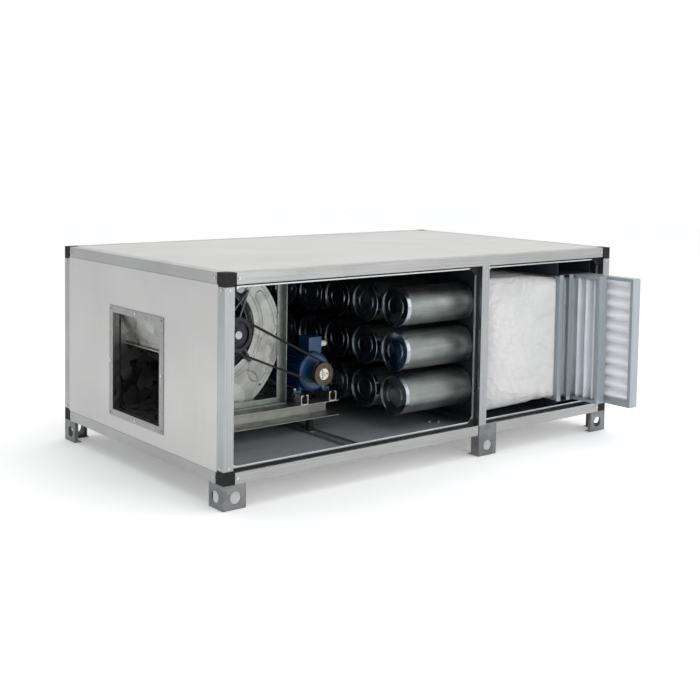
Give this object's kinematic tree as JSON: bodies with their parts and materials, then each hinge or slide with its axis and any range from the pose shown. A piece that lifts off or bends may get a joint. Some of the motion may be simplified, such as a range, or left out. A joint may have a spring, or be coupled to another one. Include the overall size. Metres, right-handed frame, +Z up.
{
  "type": "belt-driven exhaust air filter and fan unit",
  "caption": "Aluminium-profile air handling cabinet on feet: belt-driven double-inlet fan, carbon cylinders, bag filter and slide-out pleated cells, door panels off.",
  "frame": {"origin": "on the floor, under the middle of the bounding box, with the outer filter cell partly pulled out as in the picture", "axes": "+X from the outlet end to the inlet end, +Y from the door side to the back, +Z up"},
  "size_m": [2.011, 1.408, 0.8],
  "materials": {
    "panel_coat": "satin",
    "liner_zinc": "satin",
    "foam": "matte",
    "profile_alu": "satin",
    "black_plastic": "matte",
    "foot_zinc": "satin",
    "flange_zinc": "satin",
    "lip_alu": "satin",
    "black_rubber": "matte",
    "bright_zinc": "satin",
    "fan_zinc": "satin",
    "frame_zinc": "satin",
    "base_zinc": "satin",
    "shaft_steel": "polished",
    "pulley_iron": "satin",
    "pulley_brown": "satin",
    "bush_steel": "satin",
    "motor_blue": "satin",
    "motor_blue_plastic": "satin",
    "grey_plastic": "satin",
    "winding": "matte",
    "cylinder_zinc": "satin",
    "cap_zinc": "satin",
    "carbon": "matte",
    "cell_zinc": "satin",
    "bag_fabric": "matte",
    "pleat_fabric": "matte"
  },
  "bodies": {
    "cabinet": {"frame_rails": "profile_alu", "corner_posts": "profile_alu", "mullions": "profile_alu", "corner_blocks": "black_plastic", "feet": "foot_zinc", "top_panel": "panel_coat", "floor_panels": "panel_coat", "rear_panels": "panel_coat", "outlet_end_panel": "panel_coat", "inlet_end_panel": "panel_coat", "panel_liners": "liner_zinc", "panel_insulation": "foam", "floor_channels": "flange_zinc", "door_gaskets": "black_rubber", "door_lips": "lip_alu", "outlet_flange": "flange_zinc", "inlet_flange": "flange_zinc", "case_screws": "bright_zinc", "fan_side_plates": "fan_zinc", "fan_scroll": "fan_zinc", "fan_inlet_rings": "fan_zinc", "bearing_spiders": "fan_zinc", "fan_bearings": "shaft_steel", "fan_frame": "frame_zinc", "base_channels": "base_zinc", "rubber_mounts": "black_rubber", "outlet_sleeve": "black_rubber", "drive_belt": "black_rubber", "carbon_shells": "cylinder_zinc", "carbon_end_caps": "cap_zinc", "carbon_base_rings": "cap_zinc", "carbon_beds": "carbon", "carbon_plate": "liner_zinc", "rear_filter_frames": "cell_zinc", "rear_filter_media": "bag_fabric", "filter_guides": "liner_zinc"},
    "fan_rotor": {"fan_wheel_discs": "frame_zinc", "fan_wheel_blades": "frame_zinc", "fan_shaft": "shaft_steel", "fan_pulley": "pulley_iron"},
    "motor_carriage": {"motor_housing": "motor_blue", "motor_end_shields": "motor_blue", "motor_fan_cowl": "motor_blue", "motor_stator": "winding", "motor_terminal_box": "motor_blue_plastic", "motor_cable_gland": "grey_plastic", "motor_cross_rails": "bright_zinc", "motor_bolts": "bright_zinc"},
    "motor_rotor_body": {"motor_rotor": "shaft_steel", "motor_pulley": "pulley_brown", "motor_pulley_bush": "bush_steel", "motor_cooling_fan": "black_plastic"},
    "bag_filter": {"bag_header": "cell_zinc", "bag_pockets": "bag_fabric"},
    "thin_cell": {"thin_cell_frame": "cell_zinc", "thin_cell_media": "pleat_fabric"},
    "inner_cell": {"inner_cell_frame": "cell_zinc", "inner_cell_media": "pleat_fabric"},
    "outer_cell": {"outer_cell_frame": "cell_zinc", "outer_cell_media": "pleat_fabric"}
  },
  "joints": [
    {"name": "fan_spin", "type": "hinge", "parent": "cabinet", "child": "fan_rotor", "pos_m": [-0.755, 0.111, 0.535], "axis": [0, 1, 0], "continuous": true},
    {"name": "belt_tension", "type": "slide", "parent": "cabinet", "child": "motor_carriage", "axis": [1, 0, 0], "range_m": [-0.02, 0.01], "deforming": ["drive_belt"]},
    {"name": "motor_spin", "type": "hinge", "parent": "motor_carriage", "child": "motor_rotor_body", "pos_m": [-0.352, -0.187, 0.347], "axis": [0, 1, 0], "continuous": true},
    {"name": "bag_filter_slide", "type": "slide", "parent": "cabinet", "child": "bag_filter", "axis": [0, -1, 0], "range_m": [0, 0.54]},
    {"name": "thin_cell_slide", "type": "slide", "parent": "cabinet", "child": "thin_cell", "axis": [0, -1, 0], "range_m": [0, 0.54]},
    {"name": "inner_cell_slide", "type": "slide", "parent": "cabinet", "child": "inner_cell", "axis": [0, -1, 0], "range_m": [-0.13, 0.41]},
    {"name": "outer_cell_slide", "type": "slide", "parent": "cabinet", "child": "outer_cell", "axis": [0, -1, 0], "range_m": [-0.257, 0.283]}
  ],
  "couplings": [
    {"joint": "motor_spin", "follows": "fan_spin", "ratio": 1.4471}
  ]
}
